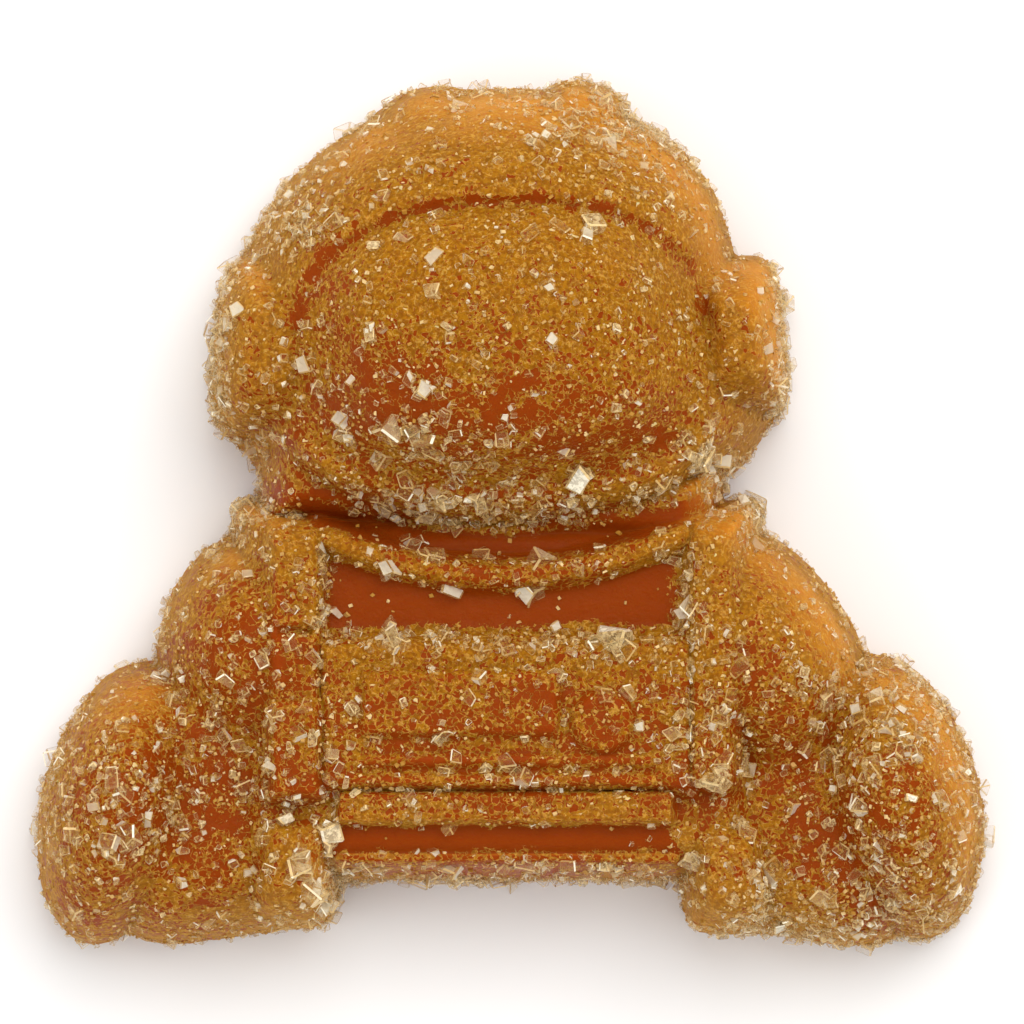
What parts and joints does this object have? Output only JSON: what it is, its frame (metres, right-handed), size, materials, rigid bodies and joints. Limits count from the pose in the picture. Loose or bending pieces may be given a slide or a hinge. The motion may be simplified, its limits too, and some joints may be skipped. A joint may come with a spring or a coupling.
{
  "type": "astronaut gummy sweet",
  "caption": "Flat-backed jelly sweet cast as a seated astronaut with a domed visor, collar and chest pack, dusted with coarse sugar crystals.",
  "frame": {"origin": "on the surface it lies on, under the middle of its box", "axes": "+X to the figure's left arm side as seen from the front (its width), +Y towards the top of its helmet, +Z out of its front"},
  "size_m": [0.0322, 0.029, 0.013],
  "materials": {
    "sugared_jelly": "orange jelly, translucent, with a crust of half-dissolved sugar",
    "sugar_crystals": "clear to cream sugar crystals"
  },
  "bodies": {
    "root": {"gummy_astronaut": "sugared_jelly"}
  },
  "joints": []
}
